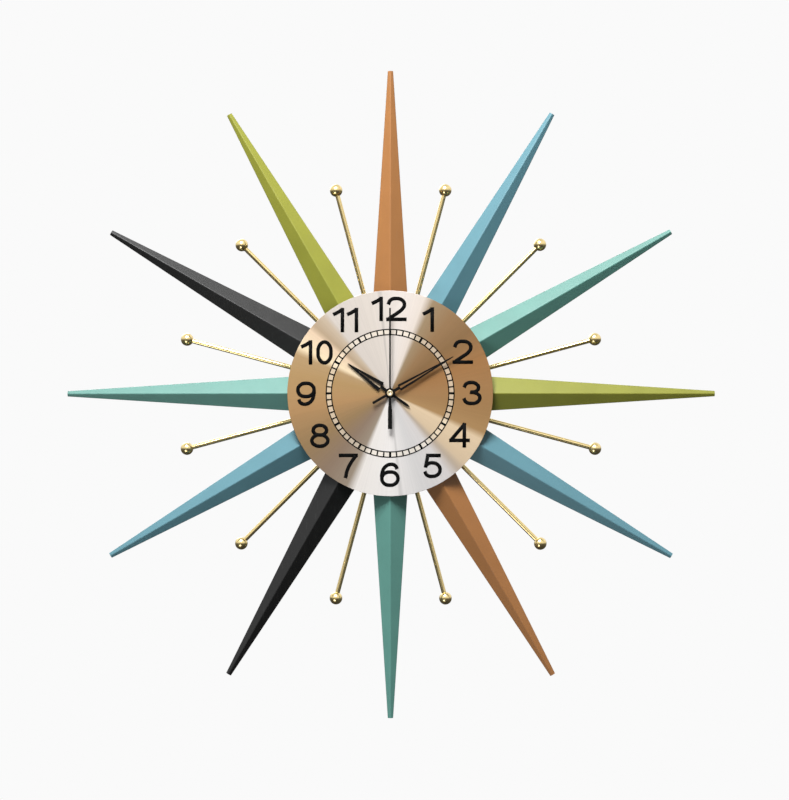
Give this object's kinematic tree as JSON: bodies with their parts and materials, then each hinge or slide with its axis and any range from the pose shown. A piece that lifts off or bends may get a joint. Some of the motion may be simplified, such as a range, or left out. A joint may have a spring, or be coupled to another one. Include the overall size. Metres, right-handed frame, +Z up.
{
  "type": "sunburst wall clock",
  "caption": "Battery wall clock with a round sunray dial ringed by tapering folded-metal spikes and thin ball-tipped rods, skeleton hands and a shallow rear pan.",
  "frame": {"origin": "on the hands' axis, in the plane of the wall, at the centre of the rear pad ring", "axes": "+Z up with twelve o'clock, +X to three o'clock, the dial faces -Y and +Y points into the wall"},
  "size_m": [0.64, 0.0509, 0.64],
  "materials": {
    "pan_black": "satin black powder coat on pressed steel",
    "foam_pad": "closed-cell EVA foam",
    "zinc_steel": "zinc-plated steel",
    "dial_champagne": "sunray-brushed champagne anodised aluminium",
    "carrier_black": "moulded ABS",
    "paint_copper": "satin copper-orange paint on folded steel",
    "paint_blue": "satin teal-blue paint on folded steel",
    "paint_mint": "satin mint paint on folded steel",
    "paint_lime": "satin lime paint on folded steel",
    "paint_black": "satin black paint on folded steel",
    "rod_brass": "polished lacquered brass",
    "movement_black": "moulded ABS",
    "train_white": "moulded acetal",
    "board_green": "epoxy glass board with a black resin drop",
    "crystal_can": "drawn metal can",
    "copper_wire": "enamelled copper winding",
    "stator_iron": "soft iron lamination",
    "magnet": "sintered ferrite magnet on a moulded pinion",
    "contact_nickel": "nickel-plated spring strip",
    "battery_label": null,
    "nut_brass": "turned brass",
    "gasket_rubber": "moulded rubber",
    "hand_black": "black lacquered aluminium"
  },
  "bodies": {
    "clock_body": {"ball_finials": "rod_brass", "bushing_nut": "nut_brass", "carrier_screws": "zinc_steel", "circuit_board": "board_green", "coil_bobbin": "train_white", "coil_winding": "copper_wire", "dial": "dial_champagne", "dial_carrier": "carrier_black", "hanger_plate": "zinc_steel", "hanger_rivets": "zinc_steel", "housing_pan": "pan_black", "movement_case": "movement_black", "movement_cover": "movement_black", "negative_contact": "contact_nickel", "nut_washer": "zinc_steel", "positive_contact": "contact_nickel", "quartz_crystal": "crystal_can", "rod_01": "rod_brass", "rod_02": "rod_brass", "rod_03": "rod_brass", "rod_04": "rod_brass", "rod_05": "rod_brass", "rod_06": "rod_brass", "rod_07": "rod_brass", "rod_08": "rod_brass", "rod_09": "rod_brass", "rod_10": "rod_brass", "rod_11": "rod_brass", "rod_12": "rod_brass", "rod_nuts": "zinc_steel", "rubber_gasket": "gasket_rubber", "spike_01": "paint_blue", "spike_02": "paint_mint", "spike_03": "paint_lime", "spike_04": "paint_blue", "spike_05": "paint_copper", "spike_06": "paint_mint", "spike_07": "paint_black", "spike_08": "paint_blue", "spike_09": "paint_mint", "spike_10": "paint_black", "spike_11": "paint_lime", "spike_12": "paint_copper", "spike_screws": "zinc_steel", "stator": "stator_iron", "train_bridge": "train_white", "wall_pad_ring": "foam_pad"},
    "rotor_set": {"rotor": "magnet"},
    "fifth_set": {"fifth_wheel": "train_white"},
    "seconds_set": {"seconds_wheel": "train_white", "second_hand": "hand_black"},
    "third_set": {"third_wheel": "train_white"},
    "minute_set": {"cannon_pinion": "train_white", "centre_wheel": "train_white", "minute_hand": "hand_black"},
    "motion_set": {"minute_wheel": "train_white"},
    "hour_set": {"hour_wheel": "train_white", "hour_hand": "hand_black"},
    "knob_set": {"setting_knob": "train_white"},
    "battery_set": {"battery": "battery_label"}
  },
  "joints": [
    {"name": "second_hand_turn", "type": "hinge", "parent": "clock_body", "child": "seconds_set", "pos_m": [0, -0.0132, 0], "axis": [0, 1, 0], "continuous": true},
    {"name": "fifth_wheel_turn", "type": "hinge", "parent": "clock_body", "child": "fifth_set", "pos_m": [-0.00758, -0.0116, 0.00438], "axis": [0, 1, 0], "continuous": true},
    {"name": "rotor_turn", "type": "hinge", "parent": "clock_body", "child": "rotor_set", "pos_m": [-0.01415, -0.0116, 0.00613], "axis": [0, 1, 0], "continuous": true},
    {"name": "third_wheel_turn", "type": "hinge", "parent": "clock_body", "child": "third_set", "pos_m": [0.00425, -0.015, 0.00736], "axis": [0, 1, 0], "continuous": true},
    {"name": "minute_hand_turn", "type": "hinge", "parent": "clock_body", "child": "minute_set", "pos_m": [0, -0.0168, 0], "axis": [0, 1, 0], "continuous": true},
    {"name": "motion_wheel_turn", "type": "hinge", "parent": "clock_body", "child": "motion_set", "pos_m": [0.00827, -0.0182, -0.00146], "axis": [0, 1, 0], "continuous": true},
    {"name": "hour_hand_turn", "type": "hinge", "parent": "clock_body", "child": "hour_set", "pos_m": [0, -0.0196, 0], "axis": [0, 1, 0], "continuous": true},
    {"name": "setting_knob_turn", "type": "hinge", "parent": "clock_body", "child": "knob_set", "pos_m": [0.01667, -0.0182, -0.00146], "axis": [0, 1, 0], "continuous": true},
    {"name": "battery_slide", "type": "slide", "parent": "clock_body", "child": "battery_set", "axis": [0, 1, 0], "range_m": [0, 0.03]}
  ],
  "couplings": [
    {"joint": "fifth_wheel_turn", "follows": "second_hand_turn", "ratio": -4},
    {"joint": "rotor_turn", "follows": "second_hand_turn", "ratio": 30},
    {"joint": "third_wheel_turn", "follows": "second_hand_turn", "ratio": -0.13333},
    {"joint": "minute_hand_turn", "follows": "second_hand_turn", "ratio": 0.016667},
    {"joint": "motion_wheel_turn", "follows": "second_hand_turn", "ratio": -0.0055556},
    {"joint": "hour_hand_turn", "follows": "second_hand_turn", "ratio": 0.0013889},
    {"joint": "setting_knob_turn", "follows": "second_hand_turn", "ratio": 0.016667}
  ]
}
